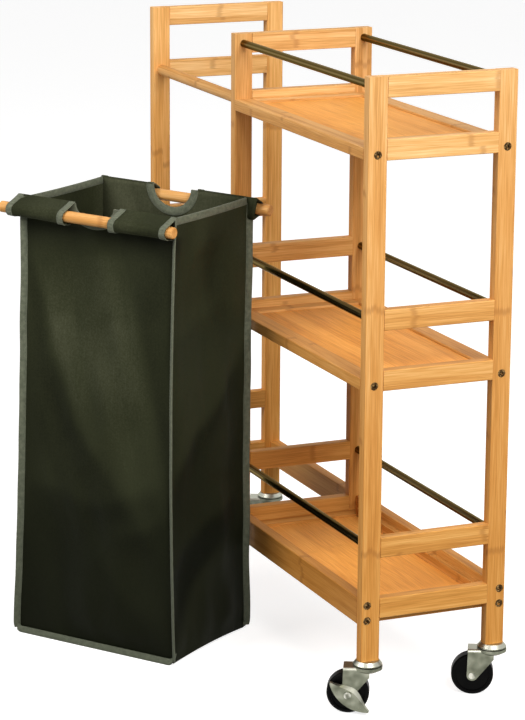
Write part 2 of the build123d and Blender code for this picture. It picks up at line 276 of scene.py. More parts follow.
def screwPaint():
    paint = Paint("darkBronze", {"Metallic": 1.0})
    place = paint.place()
    worn = paint.step(paint.cloud(place, 420.0, 3.0), 0.48, 0.66)
    colour = paint.ramp(worn, [(0.0, tone(66, 48, 28)), (1.0, tone(150, 120, 76))])
    paint.dress({"Base Color": colour, "Roughness": 0.42 - worn * 0.14})
    return paint.material


canvasLook = {
    "yarn": 0.0011,  # width of one thread
    "deep": tone(8, 10, 4),
    "open": tone(47, 50, 33),
    "pale": tone(78, 80, 62),
    "folds": 0.03,  # depth of the soft folds in metres
    "crease": 1.0,  # how far the painted light and shade of the fold lines show in the colour
    "creaseLow": 0.4,  # and how much of that the floor's painted shade leaves
    "floorShade": 0.16,  # painted shade: how much of its lightness is left at the floor
    "floorReach": 0.52,  # height where that shade ends
    "edgeShade": 0.72,  # painted shade: how much lightness is left at the ends of the long walls
    "edgeFrom": (0.06, 0.122),
    "sleeveShade": [(0.44, 0.565, 0.566, 0.3), (0.525, 0.568, 0.568, 0.5)],  # painted shadow below the front sleeves
    "sleeveEnd": 0.576,
    "frontWall": (-0.08, -0.06),
    "backLight": 0.45,  # painted light: how much is gained high on the back wall
    "level": 0.95,
    # the broad mottle and the soft folds' noise are partly painted shade of folds
    "share": {"faded": 0.7, "folds": 0.9, "slub": 0.4, "weave": 0.3, "fleck": 0.6},
}


def canvasPaint():
    look = canvasLook
    paint = Paint("oliveCanvas", {"Specular IOR Level": 0.05})
    cloth = paint.axes(paint.place("UV"))
    warp = (cloth["X"] * (2 * math.pi / look["yarn"])).sine()
    weft = (cloth["Y"] * (2 * math.pi / look["yarn"])).sine()
    weave = warp * weft * 0.5 + 0.5
    slub = paint.cloud(paint.vector(cloth["X"] * 700.0, cloth["Y"] * 25.0, 0.0), 1.0, 3.0)
    turned = {"Vector": paint.place(), "Location": bagMiddle, "Rotation": (0, 0, bagCut["turn"])}
    place = paint.add("ShaderNodeMapping", {"vector_type": "TEXTURE"}, turned)
    axes = paint.axes(place)  # along the bag, across it, up
    high = axes["Z"]
    slanted = paint.vector(axes["X"] * 11.0 + high * 3.2, axes["Y"] * 11.0, high * 2.6)
    folds = paint.cloud(slanted, 1.0, 1.5)
    parts = {
        # broad mottle, partly painted shade of soft folds
        "faded": paint.cloud(place, 9.0, 3.0),
        "folds": folds,
        "slub": slub,
        "weave": weave,
        "fleck": paint.cloud(place, 420.0, 1.0),
    }
    # painted shade: darker towards the floor
    low = paint.step(high, 0.0, look["floorReach"], look["floorShade"], 1.0)
    # painted shade towards the ends of the long walls
    edge = paint.step(abs(axes["X"]), *look["edgeFrom"], 1.0, look["edgeShade"])
    front = paint.step(axes["Y"], *look["frontWall"], 1.0, 0.0)
    # painted shadow below the front sleeves
    sleeve = 1.0
    for start, full, fall, share in look["sleeveShade"]:
        band = paint.step(high, start, full) * paint.step(high, fall, look["sleeveEnd"], 1.0, 0.0)
        sleeve = sleeve - band * front * share
    # painted light high on the back wall
    back = paint.step(axes["Y"], 0.03, 0.08) * paint.step(high, 0.3, 0.5) * look["backLight"]
    # painted light and shade along the fold lines
    crease = paint.add("ShaderNodeAttribute", {"attribute_name": "shade"}, {}, "Fac") * look["crease"]
    level = look["level"]
    for name, part in parts.items():
        level = level + (part - 0.5) * look["share"][name]
    level = level * low * edge * sleeve + back * edge * edge
    level = level + crease * (low * (1.0 - look["creaseLow"]) + look["creaseLow"])
    colour = paint.ramp(level * 0.6, [(0.0, look["deep"]), (0.54, look["open"]), (1.0, look["pale"])])
    paint.dress({"Base Color": colour, "Roughness": 0.62 + slub * 0.2})
    paint.bump(weave + slub * 0.5, 0.3, 0.0003, (folds, look["folds"]))
    return paint.material


tapeLook = {
    "rib": 0.0013,
    "deep": tone(52, 56, 42),
    "dark": tone(74, 79, 64),
    "light": tone(112, 117, 98),
}


def tapePaint():
    look = tapeLook
    paint = Paint("greenTape", {"Sheen Weight": 0.05, "Specular IOR Level": 0.25})
    cloth = paint.axes(paint.place("UV"))
    rib = (cloth["X"] * (2 * math.pi / look["rib"])).sine() * 0.5 + 0.5
    mottle = paint.cloud(paint.vector(cloth["X"] * 160.0, cloth["Y"] * 500.0, 0.0), 1.0, 3.0)
    # painted shade: darker towards the floor
    low = paint.step(paint.axes(paint.place())["Z"], 0.0, 0.4, 0.62, 1.0)
    level = (rib * 0.25 + mottle * 0.85) * low
    colour = paint.ramp(level, [(0.1, look["deep"]), (0.35, look["dark"]), (0.8, look["light"])])
    paint.dress({"Base Color": colour, "Roughness": 0.6 + mottle * 0.2})
    paint.bump(rib + mottle * 0.4, 0.35, 0.0003)
    return paint.material


def threadPaint():
    paint = Paint("seamThread", {"Sheen Weight": 0.2})
    twist = paint.cloud(paint.place(), 2600.0, 1.0)
    colour = paint.ramp(twist, [(0.3, tone(38, 41, 31)), (0.7, tone(80, 84, 68))])
    paint.dress({"Base Color": colour, "Roughness": 0.55 + twist * 0.2})
    return paint.material


bagCut = {  # the bag's own sizes, as the cloth is sewn
    "floorLength": 0.252,
    "rimLength": 0.232,
    "rimShift": 0.013,  # the left end leans in
    "tilt": math.radians(1.2),
    "depth": 0.172,
    "height": 0.6,
    "turn": math.radians(35.0),
    "cloth": 0.0016,
    "holeWidth": 0.062,
    "endDip": 0.0012,  # end rims hang between their corners
    "dowelRadius": 0.0075,
    "dowelOut": 0.012,
    "dowelDrop": 0.0155,
    "seamDrop": 0.027,
    "sleeveEase": 0.0005,  # room round the dowel
    "sleeveBack": 0.0006,  # off the wall behind, and below the rim
    "sleeveSpan": 0.248,
    "sleeveGap": 0.036,
    "sleeveSlant": 0.005,  # its end is further right at the rim than at the dowel
    "sleeveSlack": 0.0026,  # hangs loose beside the hand hole
    "tape": 0.0085,  # tape's lap on the cloth
    "holeTape": 0.0105,
    "tapeThick": 0.0009,
}
bagSides = {  # way out; middle of the sleeves, middle of the hand hole and its depth, from the rim
    "Front": (-1, -0.010, -0.0085, 0.020),
    "Back": (1, 0.0025, -0.002, 0.028),
}

bagLow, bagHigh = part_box("bag_bottom_panel")
bagMiddle = (bagLow + bagHigh) / 2
bagMiddle.z = 0.0
bagPlace = Matrix.Translation(bagMiddle) @ Matrix.Rotation(bagCut["turn"], 4, "Z")

strips = {  # width of a strip, difference between strips, lightness, how much painted light pales it higher up, knuckles
    "post": (0.0062, 0.3, (1.0, 1.0, 1.0), 1.0, 0.46),
    "rung": (0.0062, 0.3, (1.06, 1.12, 1.2), 1.0, 0.46),
    "leftPost": (0.0062, 0.3, (1.2, 1.19, 1.12), 1.0, 0.46),  # painted light: the left frame is made lighter
    "leftRung": (0.0062, 0.3, (1.2, 1.27, 1.36), 1.0, 0.46),
    "rail": (0.0062, 0.3, (1.0, 1.0, 1.0), 0.7, 0.46),
    # painted shade: the front bottom rail is made darker
    "apron": (0.0062, 0.3, (0.84, 0.8, 0.72), 0.7, 0.46),
    "panel": (0.021, 0.16, (1.42, 1.37, 1.2), 0.0, 0.1),
    "dowel": (0.0062, 0.3, (0.95, 0.95, 0.95), 1.0, 0.46),
}
finishes = {
    "bambooUpright": bambooPaint("bambooUpright", "Z", *strips["post"]),
    "bambooCross": bambooPaint("bambooCross", "Y", *strips["rung"]),
    "bambooLeftUpright": bambooPaint("bambooLeftUpright", "Z", *strips["leftPost"]),
    "bambooLeftCross": bambooPaint("bambooLeftCross", "Y", *strips["leftRung"]),
    "bambooLong": bambooPaint("bambooLong", "X", *strips["rail"]),
    "bambooApron": bambooPaint("bambooApron", "X", *strips["apron"]),
    "bambooPanel": bambooPaint("bambooPanel", "X", *strips["panel"]),
    "bambooDowel": bambooPaint("bambooDowel", "X", *strips["dowel"], bagCut["turn"]),
    "steel": steelPaint(),
    "zinc": zincPaint("brightZinc", zincPaintedLightBands["plate"]),
    "rivet": zincPaint("zincRivet", zincPaintedLightBands["rivet"]),
    "wheel": wheelPaint(),
    "screw": screwPaint(),
    "canvas": canvasPaint(),
    "tape": tapePaint(),
    "thread": threadPaint(),
}
nodeFinish = {  # the first word found in a node's name gives its finish
    "caster_wheel": "wheel",
    "caster_axle": "rivet",
    "caster": "zinc",
    "brake": "zinc",
    "screws": "screw",
    "rods": "steel",
    "dowel": "bambooDowel",
    "left_front_post": "bambooLeftUpright",
    "left_back_post": "bambooLeftUpright",
    "left_guard_rungs": "bambooLeftCross",
    "left_shelf_rungs": "bambooLeftCross",
    "post": "bambooUpright",
    "rungs": "bambooCross",
    "end_rails": "bambooCross",
    "shelf_panel": "bambooPanel",
    "bottom_shelf_front_rail": "bambooApron",
    "rail": "bambooLong",
    "cleats": "bambooLong",
    "tie_bar": "bambooLong",
}
for name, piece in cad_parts.items():
    found = [finish for word, finish in nodeFinish.items() if word in name]
    if found:
        piece.data.materials.clear()
        piece.data.materials.append(finishes[found[0]])
print("finishes:", len(finishes))


def newPiece(name, mesh, finish, sharp=math.radians(38)):
    mesh.transform(bagPlace)
    mesh.materials.append(finishes[finish])
    mesh.shade_smooth()
    mesh.set_sharp_from_angle(angle=sharp)
    piece = bpy.data.objects.new(name, mesh)
    bpy.context.scene.collection.objects.link(piece)
    return piece


def applied(piece):  # the piece with its modifiers made real
    depsgraph = bpy.context.evaluated_depsgraph_get()
    made = bpy.data.meshes.new_from_object(piece.evaluated_get(depsgraph), depsgraph=depsgraph)
    piece.modifiers.clear()
    piece.data = made
    return piece


def thicken(piece, thick, offset):
    wall = piece.modifiers.new("thickness", "SOLIDIFY")
    wall.thickness = thick
    wall.offset = offset
    wall.use_even_offset = True
    return applied(piece)


def smoothStep(value, low, high):
    share = min(1.0, max(0.0, (value - low) / (high - low)))
    return share * share * (3 - 2 * share)


rimMiddle = Matrix.Translation((bagCut["rimShift"], 0, bagCut["height"]))
rimPlace = rimMiddle @ Matrix.Rotation(bagCut["tilt"], 4, "Y")


def holeEdge(b, x):  # how far a half-moon cuts down at x from the rim's middle
    _, _, middle, depth = bagSides["Front" if b < 0 else "Back"]
    share = min(1.0, abs(x - middle) / (bagCut["holeWidth"] / 2))
    return depth * math.sqrt(1 - share * share)


bagSag = {
    "waist": 0.004,  # long walls draw in at mid height
    "endWaist": 0.006,
    "broad": 0.017,  # slow swell of the cloth
    "crease": 0.0055,
    "foot": 0.003,  # swell above the floor seam
    "bow": {(1, -1): 0.0065, (1, 1): 0.003, (-1, -1): 0.0035, (-1, 1): 0.003},  # corners draw in
    "fold": 0.009,  # height of the strongest fold lines
    "foldEdge": 0.011,  # how soft their edges are
    "lift": 0.003,  # end walls rise off the floor between their corners
}


bagFolds = {  # a line across a wall and up; share and reach of painted light on its left, of painted shade on its right
    "long": [
        ([(-0.83, 0.82), (-0.62, 0.69), (-0.24, 0.53), (0.1, 0.45), (0.36, 0.38)],
         (0.2, 0.085), (0.56, 0.058)),
        ([(-0.51, 0.37), (-0.74, 0.44), (-0.96, 0.54)], (0.26, 0.026), (0.16, 0.024)),
        ([(0.66, 0.755), (-0.31, 0.741), (-0.93, 0.745)], (0.07, 0.025), (0.14, 0.018)),
        ([(-0.68, 0.352), (-0.2, 0.342), (0.23, 0.341), (0.75, 0.385)], (0.22, 0.03), (0.2, 0.05)),
        ([(0.49, 0.278), (0.71, 0.293), (0.97, 0.33)], (0.26, 0.016), (0.2, 0.018)),
        ([(0.82, 0.52), (0.68, 0.65), (0.57, 0.78)], (0.12, 0.04), (0.42, 0.026)),
        ([(0.14, 0.2), (0.32, 0.145), (0.53, 0.105)], (0.2, 0.04), (0.1, 0.04)),
    ],
    "end": [
        ([(-0.93, 0.416), (-0.35, 0.508), (0.28, 0.577), (0.91, 0.636)], (0.24, 0.05), (0.46, 0.05)),
        ([(0.01, 0.197), (-0.4, 0.142), (-0.88, 0.058)], (0.26, 0.04), (0.3, 0.022)),
        ([(-0.93, 0.733), (-0.5, 0.738), (-0.01, 0.757)], (0.13, 0.022), (0.12, 0.02)),
        ([(0.09, 0.77), (-0.1, 0.93)], (0.15, 0.03), (0.2, 0.03)),
        ([(-0.69, 0.239), (-0.1, 0.297), (0.38, 0.316)], (0.16, 0.024), (0.28, 0.04)),
    ],
}


def foldAt(side, across, height):  # how far the fold lines lift the cloth here, and their painted light and shade
    kind, width = ("long", "rimLength") if side in ("front", "back") else ("end", "depth")
    size = Vector((bagCut[width] / 2, bagCut["height"]))
    spot = Vector((across, height)) * size
    edge = bagSag["foldEdge"]
    lift = shade = 0.0
    for line, light, dark in bagFolds[kind]:
        nearest = None
        for first, second in zip(line, line[1:]):
            start = Vector(first) * size
            run = Vector(second) * size - start
            share = min(1.0, max(0.0, (spot - start).dot(run) / run.length_squared))
            away = spot - start - run * share
            if nearest is None or away.length < nearest[0]:
                nearest = (away.length, (run.x * away.y - run.y * away.x) / run.length)
        turn = math.tanh(nearest[1] / edge)  # 1 on the light side, -1 on the dark one
        left = 0.5 + 0.5 * turn
        reach = dark[1] + (light[1] - dark[1]) * left
        fade = math.exp(-(math.hypot(nearest[0], edge) - edge) / reach)
        lift += bagSag["fold"] * (light[0] + dark[0]) * fade
        shade += turn * fade * (dark[0] + (light[0] - dark[0]) * left)
    return lift, shade


def sag(side, across, height):  # outward move of a wall: across from -1 to 1, height from 0 to 1
    hold = (1 - across * across) ** 0.6 * smoothStep(height, 0.0, 0.06)  # seams, floor and rim stay
    hold *= 1 - smoothStep(height, 0.88, 0.95)
    waist = bagSag["waist"] if side in ("front", "back") else bagSag["endWaist"]
    seed = {"front": 3.1, "back": 11.7, "left": 23.3, "right": 37.9}[side]
    broad = noise.noise(Vector((across + height * 0.8, height * 4.0 - across * 0.5, seed)))
    fold = noise.noise(Vector((across * 2.4 + height * 1.7, height * 6.1 - across, seed + 5)))
    crease = 1 - 2 * abs(noise.noise(Vector((across * 1.8 - height * 2.3, height * 4.2, seed + 9))))
    foot = bagSag["foot"] * math.exp(-((height - 0.08) / 0.06) ** 2)
    swell = bagSag["broad"] * broad + bagSag["crease"] * (fold + 0.5 * crease)
    swell += foldAt(side, across, height)[0]
    return hold * (swell - waist * math.sin(math.pi * height) + foot)


def rimPoint(a, b):
    x = a * bagCut["rimLength"] / 2
    drop = holeEdge(b, x) if abs(b) == 1 else bagCut["endDip"] * (1 - b * b) ** 0.8
    return rimPlace @ Vector((x, b * bagCut["depth"] / 2, -drop))


def bow(a, b, height):  # upright edges curve in between floor and rim
    near, far = (bagSag["bow"][(1 if a > 0 else -1, end)] for end in (-1, 1))
    deep = near + (far - near) * (b + 1) / 2
    return -a * deep * math.sin(math.pi * min(1.0, height)) ** 0.8


def bagPoint(a, b, share):  # a and b from -1 to 1 across the bag, share from floor to rim
    floor = Vector((a * bagCut["floorLength"] / 2, b * bagCut["depth"] / 2, bagCut["cloth"]))
    if abs(a) == 1:
        floor.z += bagSag["lift"] * (1 - b * b)
    point = floor.lerp(rimPoint(a, b), share)
    height = point.z / bagCut["height"]
    point.x += bow(a, b, height)
    if abs(b) == 1:
        point.y += b * sag("front" if b < 0 else "back", a, height)
    if abs(a) == 1:
        point.x += a * sag("left" if a < 0 else "right", b, height)
    return point


def bagShade(a, b, share):  # painted light and shade of the fold lines, none at the seams
    if abs(b) == 1 and abs(a) < 1:
        return foldAt("front" if b < 0 else "back", a, share)[1] * (1 - a ** 8)
    if abs(a) == 1 and abs(b) < 1:
        return foldAt("left" if a < 0 else "right", b, share)[1] * (1 - b ** 8)
    return 0.0


def spread(low, high, count):  # even places without the last
    return [low + (high - low) * index / count for index in range(count)]


bagSteps = {"columns": 40, "depths": 30, "heights": 100, "hole": 24, "least": 0.0015}


def bagColumns():  # finer at the half-moons, where the edge is steep
    places = spread(-1.0, 1.0, bagSteps["columns"]) + [1.0]
    for _, _, middle, _ in bagSides.values():
        for index in range(bagSteps["hole"] + 1):
            x = middle - math.cos(math.pi * index / bagSteps["hole"]) * bagCut["holeWidth"] / 2
            places.append(x / (bagCut["rimLength"] / 2))
    kept = []
    for place in sorted(places):
        if not kept or place - kept[-1] > bagSteps["least"]:
            kept.append(place)
    return kept[:-1] + [1.0]


def bagShell():
    columns = bagColumns()
    depths = spread(-1.0, 1.0, bagSteps["depths"]) + [1.0]
    heights = spread(0.0, 1.0, bagSteps["heights"]) + [1.0]
    mesh = bmesh.new()
    shade = mesh.verts.layers.float.new("shade")
    corner = {}

    def at(a, b, share):
        key = (round(a, 5), round(b, 5), round(share, 5))
        if key not in corner:
            corner[key] = mesh.verts.new(bagPoint(a, b, share))
            corner[key][shade] = bagShade(a, b, share)
        return corner[key]

    layer = mesh.loops.layers.uv.new("cloth")

    def patch(points, places):
        face = mesh.faces.new(points)
        for loop, place in zip(face.loops, places):
            loop[layer].uv = place

    def wall(stops, spot, width, turned):  # one side, read left to right from outside
        for first, second in zip(stops, stops[1:]):
            for low, high in zip(heights, heights[1:]):
                ring = [(first, low), (second, low), (second, high), (first, high)]
                ring = ring[::-1] if turned else ring
                points = [at(*spot(place), share) for place, share in ring]
                patch(points, [(place * width / 2, share * bagCut["height"]) for place, share in ring])

    wall(columns, lambda place: (place, -1.0), bagCut["floorLength"], False)
    wall(columns, lambda place: (place, 1.0), bagCut["floorLength"], True)
    wall(depths, lambda place: (-1.0, place), bagCut["depth"], True)
    wall(depths, lambda place: (1.0, place), bagCut["depth"], False)
    for left, right in zip(columns, columns[1:]):
        for near, far in zip(depths, depths[1:]):
            ring = [(left, near), (left, far), (right, far), (right, near)]
            points = [at(a, b, 0.0) for a, b in ring]
            patch(points, [(a * bagCut["floorLength"] / 2, b * bagCut["depth"] / 2) for a, b in ring])
    made = bpy.data.meshes.new("bagShell")
    mesh.to_mesh(made)
    area = sum(face.calc_area() for face in mesh.faces)
    mesh.free()
    return thicken(newPiece("bagShell", made, "canvas"), bagCut["cloth"], -1.0), area


def sleeveLine(grow):  # the sleeve's outline beside the wall: out from it, and height from the rim
    radius = bagCut["dowelRadius"] + bagCut["sleeveEase"] + grow
    centre = Vector((bagCut["dowelOut"], -bagCut["dowelDrop"]))
    seam = Vector((grow, -bagCut["seamDrop"]))
    fold = Vector((grow * 0.5, grow - bagCut["sleeveBack"]))

    def touch(point, side):  # angle where a line from the point touches the round
        away = point - centre
        return math.atan2(away.y, away.x) + side * math.acos(radius / away.length)

    start = touch(seam, 1)
    end = touch(fold, -1)
    while end < start:
        end += 2 * math.pi
    while end - start > 2 * math.pi:
        end -= 2 * math.pi
    angles = [start + (end - start) * index / 18 for index in range(19)]
    arc = [centre + Vector((math.cos(angle), math.sin(angle))) * radius for angle in angles]
    lead = [seam.lerp(arc[0], index / 4) for index in range(4)]
    tail = [arc[-1].lerp(fold, (index + 1) / 4) for index in range(4)]
    inside = bagCut["sleeveBack"] - grow * 0.62
    down = [Vector((inside, seam.y + (fold.y - seam.y) * index / 4)) for index in (3, 2, 1, 0)]
    return lead + arc + tail, down


def gather(x, index, side):  # small wrinkles of a sleeve along its dowel
    return 0.0008 * noise.noise(Vector((x * 70, index * 0.35, side * 9.0)))


def sleeveStrip(name, start, end, side, loose, grow, count, finish, thick):
    mesh = bmesh.new()
    layer = mesh.loops.layers.uv.new("cloth")
    around, down = sleeveLine(grow)
    line = around + down
    base = bagCut["depth"] / 2
    run = [0.0]
    for first, second in zip(line, line[1:]):
        run.append(run[-1] + (second - first).length)
    rows = []
    for step in range(count + 1):
        x = start + (end - start) * step / count
        slack = bagCut["sleeveSlack"] * smoothStep(abs(x - loose), 0.09, 0.02)
        row = []
        for index, point in enumerate(line):
            share = index / (len(around) - 1)
            ends = math.sin(math.pi * min(1.0, share))
            out = base + point.x + gather(x, index, side) * ends
            under = max(0.0, -(point.y + bagCut["dowelDrop"]) / bagCut["dowelRadius"])
            height = point.y + gather(x, index + 40, side) * ends - slack * under * ends
            slant = smoothStep(share, 0.45, 1.0) * min(1.0, 1 + point.y / bagCut["seamDrop"])
            spot = Vector((x + bagCut["sleeveSlant"] * slant, side * out, height))
            row.append(mesh.verts.new(rimPlace @ spot))
        rows.append(row)
    for step in range(count):
        for index in range(len(line) - 1):
            ring = [(step, index), (step + 1, index), (step + 1, index + 1), (step, index + 1)]
            ring = ring if side < 0 else ring[::-1]
            face = mesh.faces.new([rows[i][j] for i, j in ring])
            for loop, (i, j) in zip(face.loops, ring):
                loop[layer].uv = (start + (end - start) * i / count, run[j])
    made = bpy.data.meshes.new(name)
    mesh.to_mesh(made)
    mesh.free()
    return thicken(newPiece(name, made, finish, math.radians(60)), thick, 1.0)


seamLines = []  # stitch runs: points and the way their cloth faces
tapeRun = {
    "stitchIn": 0.0019,  # stitches from the tape's inner edge
    "seamStart": 0.006,  # share of the height
    "seamTurn": 0.022,  # the upright seams turn in below this share
    "seamWave": 0.0012,
    "floorReach": 1.02,  # the floor seams run a little past the corners
    "floorTurn": 0.95,  # and turn up from here
    "floorLift": 0.008,
    "floorOut": 0.006,
    "floorIn": 0.004,
}


def tapeAlong(mesh, layer, path, inward, across, lap, half, stitched=(1, -1)):
    if isinstance(inward, Vector):  # one way for the whole path
        inward = [inward] * len(path)
    section = [(lap, half * 0.75), (lap - 0.0006, half), (0.0, half), (-0.0009, half * 0.6)]
    section += [(way, -out) for way, out in reversed(section)]
    rings = []
    run = 0.0
    for index, point in enumerate(path):
        run += (point - path[index - 1]).length if index else 0.0
        ring = [mesh.verts.new(point + inward[index] * way + across * out) for way, out in section]
        rings.append((run, ring))
    count = len(section)
    for (before, first), (after, second) in zip(rings, rings[1:]):
        for index in range(count):
            following = (index + 1) % count
            face = mesh.faces.new((first[index], second[index], second[following], first[following]))
            places = [(before, index), (after, index), (after, index + 1), (before, index + 1)]
            for loop, (u, v) in zip(face.loops, places):
                loop[layer].uv = (u, v * lap / 3)
    mesh.faces.new(rings[0][1])
    mesh.faces.new(rings[-1][1][::-1])
    for side in stitched:
        points = [point + way * (lap - tapeRun["stitchIn"]) + across * side * half
                  for point, way in zip(path, inward)]
        seamLines.append((points, [across * side] * len(points)))


def bagTapes():
    mesh = bmesh.new()
    layer = mesh.loops.layers.uv.new("cloth")
    lap = bagCut["tape"]
    thick = bagCut["tapeThick"]
    inset = bagCut["cloth"] / 2
    up = Vector((0, 0, 1))
    for a in (-1, 1):  # rims of the two end walls
        places = [index / 30 for index in range(-29, 30)]
        path = [bagPoint(a, b, 1.0) - Vector((a * inset, 0, 0)) for b in places]
        tapeAlong(mesh, layer, path, -up, Vector((a, 0, 0)), lap, inset + thick)
    turned = rimPlace.to_3x3()
    for b, _, middle, depth in bagSides.values():  # half-moon hand holes
        path = []
        inward = []
        for index in range(37):
            angle = math.pi * index / 36
            x = middle - math.cos(angle) * bagCut["holeWidth"] / 2
            spot = Vector((x, b * (bagCut["depth"] / 2 - inset), -math.sin(angle) * depth))
            path.append(rimPlace @ spot)
            ellipse = Vector((-math.cos(angle) * depth, 0, -math.sin(angle) * bagCut["holeWidth"] / 2))
            inward.append(turned @ ellipse.normalized())
        tapeAlong(mesh, layer, path, inward, Vector((0, b, 0)), bagCut["holeTape"], inset + thick)
    for a in (-1, 1):  # the four upright seams stand out at the corners
        for b in (-1, 1):
            out = Vector((a, b, 0)).normalized()
            side = Vector((-out.y, out.x, 0))
            path = []
            for index in range(81):
                start = tapeRun["seamStart"]
                share = start + (1 - start) * (index / 80) ** 1.3  # closer steps near the floor
                turn = min(1.0, share / tapeRun["seamTurn"])
                wave = tapeRun["seamWave"] * noise.noise(Vector((share * 9, a * 3.0, b * 5.0)))
                reach = lap * (0.35 + 0.57 * math.sqrt(1 - (1 - turn) ** 2)) + wave
                path.append(bagPoint(a, b, share) + out * reach)
            tapeAlong(mesh, layer, path, -out, side, lap, inset * 0.6 + thick * 0.75)
    for b in (-1, 1):  # the seams along the floor, front and back
        out = Vector((0, b, 0))
        lean = (out * 0.55 - up * 0.84).normalized()
        side = (out * 0.84 + up * 0.55).normalized()
        path = []
        for index in range(81):
            along = (index / 40 - 1) * tapeRun["floorReach"]
            point = bagPoint(max(-1.0, min(1.0, along)), b, 0.0)
            past = (abs(along) - tapeRun["floorTurn"]) / (tapeRun["floorReach"] - tapeRun["floorTurn"])
            ends = 1 - math.sqrt(1 - min(1.0, max(0.0, past)) ** 2)  # round at both corners
            height = 0.0012 + tapeRun["floorLift"] * ends
            spot = Vector((along * bagCut["floorLength"] / 2, point.y, height))
            path.append(spot + out * (tapeRun["floorOut"] - tapeRun["floorIn"] * ends))
        tapeAlong(mesh, layer, path, -lean, side, lap * 0.9, inset + thick, (1,))
    bmesh.ops.recalc_face_normals(mesh, faces=mesh.faces)
    made = bpy.data.meshes.new("bagTapes")
    mesh.to_mesh(made)
    mesh.free()
    return newPiece("bagTapes", made, "tape", math.radians(50))


def sleeveEnds(middle, hole, way):  # from left to right
    return sorted((middle + way * bagCut["sleeveSpan"] / 2, hole + way * bagCut["sleeveGap"]))


shell, clothArea = bagShell()
sleeves = []
cuffs = []
for word, (side, middle, hole, _) in bagSides.items():
    for way, hand in ((-1, "Left"), (1, "Right")):
        start, end = sleeveEnds(middle, hole, way)
        name = f"{word}{hand}"
        strip = (side, hole, 0.0, 24, "canvas", bagCut["cloth"])
        sleeves.append(sleeveStrip("bagSleeve" + name, start, end, *strip))
        for edge, inward, label in ((start, 1, "Left"), (end, -1, "Right")):
            if name + label == "BackRightRight":  # this end shows bare canvas
                continue
            low, high = sorted((edge - inward * 0.0006, edge + inward * bagCut["tape"]))
            strip = (side, hole, bagCut["cloth"], 4, "tape", bagCut["tapeThick"])
            cuffs.append(sleeveStrip(f"bagCuff{name}{label}", low, high, *strip))
tapes = bagTapes()
print("bag cloth: shell, sleeves", len(sleeves), "cuffs", len(cuffs))

stitchLook = {"pitch": 0.0042, "length": 0.0028, "radius": 0.00034}


def stitchTree(finish):
    tree = bpy.data.node_groups.new("stitchRow", "GeometryNodeTree")
    tree.interface.new_socket("Seam", in_out="INPUT", socket_type="NodeSocketGeometry")
    sizes = {}
    for name in ("Pitch", "Length", "Radius"):
        socket = tree.interface.new_socket(name, in_out="INPUT", socket_type="NodeSocketFloat")
        sizes[name] = socket.identifier
    tree.interface.new_socket("Stitches", in_out="OUTPUT", socket_type="NodeSocketGeometry")
    nodes = Nodes(tree)
    given = nodes.add("NodeGroupInput", {}, {}, "Seam")
    curve = nodes.add("GeometryNodeMeshToCurve", {}, {"Mesh": given})
    spaced = nodes.add("GeometryNodeResampleCurve", {"mode": "LENGTH"},
                       {"Curve": curve, "Length": given.also("Pitch")})
    bead = nodes.add("GeometryNodeMeshUVSphere", {}, {"Segments": 6, "Rings": 4, "Radius": 0.5})
    size = nodes.vector(given.also("Length"), given.also("Radius"), given.also("Radius"))
    bead = nodes.add("GeometryNodeTransform", {}, {"Geometry": bead, "Scale": size})
    tangent = nodes.add("GeometryNodeInputTangent", {}, {})
    facing = nodes.add("GeometryNodeInputNamedAttribute", {"data_type": "FLOAT_VECTOR"},
                       {"Name": "facing"}, "Attribute")
    turn = nodes.add("FunctionNodeAlignRotationToVector", {"axis": "X"}, {"Vector": tangent})
    turn = nodes.add("FunctionNodeAlignRotationToVector", {"axis": "Z", "pivot_axis": "X"},
                     {"Rotation": turn, "Vector": facing})
    row = nodes.add("GeometryNodeInstanceOnPoints", {},
                    {"Points": spaced, "Instance": bead, "Rotation": turn})
    real = nodes.add("GeometryNodeRealizeInstances", {}, {"Geometry": row})
    done = nodes.add("GeometryNodeSetMaterial", {}, {"Geometry": real, "Material": finish})
    tree.links.new(done.socket, tree.nodes.new("NodeGroupOutput").inputs[0])
    return tree, sizes


def bagStitches():
    out = bagCut["depth"] / 2 + bagCut["cloth"] + 0.0007
    for side, middle, hole, _ in bagSides.values():  # the rows that close the sleeves
        for way in (-1, 1):
            ends = sleeveEnds(middle, hole, way)
            points = [rimPlace @ Vector((x, side * out, 0.0022 - bagCut["seamDrop"])) for x in ends]
            seamLines.append((points, [Vector((0, side, 0))] * 2))
    mesh = bmesh.new()
    facing = mesh.verts.layers.float_vector.new("facing")
    for points, ways in seamLines:
        last = None
        for point, way in zip(points, ways):
            vertex = mesh.verts.new(point)
            vertex[facing] = way
            if last:
                mesh.edges.new((last, vertex))
            last = vertex
    made = bpy.data.meshes.new("bagStitches")
    mesh.to_mesh(made)
    mesh.free()
    piece = bpy.data.objects.new("bagStitches", made)
    bpy.context.scene.collection.objects.link(piece)
    tree, sizes = stitchTree(finishes["thread"])
    rows = piece.modifiers.new("stitchRow", "NODES")
    rows.node_group = tree
    rows[sizes["Pitch"]] = stitchLook["pitch"]
    rows[sizes["Length"]] = stitchLook["length"]
    rows[sizes["Radius"]] = stitchLook["radius"] * 2
    applied(piece)
    piece.data.transform(bagPlace)
    return piece


stitches = bagStitches()
print("stitches:", len(stitches.data.polygons), "faces")

for piece in (shell, tapes, stitches, *sleeves, *cuffs):
    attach(piece, "bag")
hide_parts("bag_front_panel", "bag_back_panel", "bag_left_panel", "bag_right_panel",
            "bag_bottom_panel")

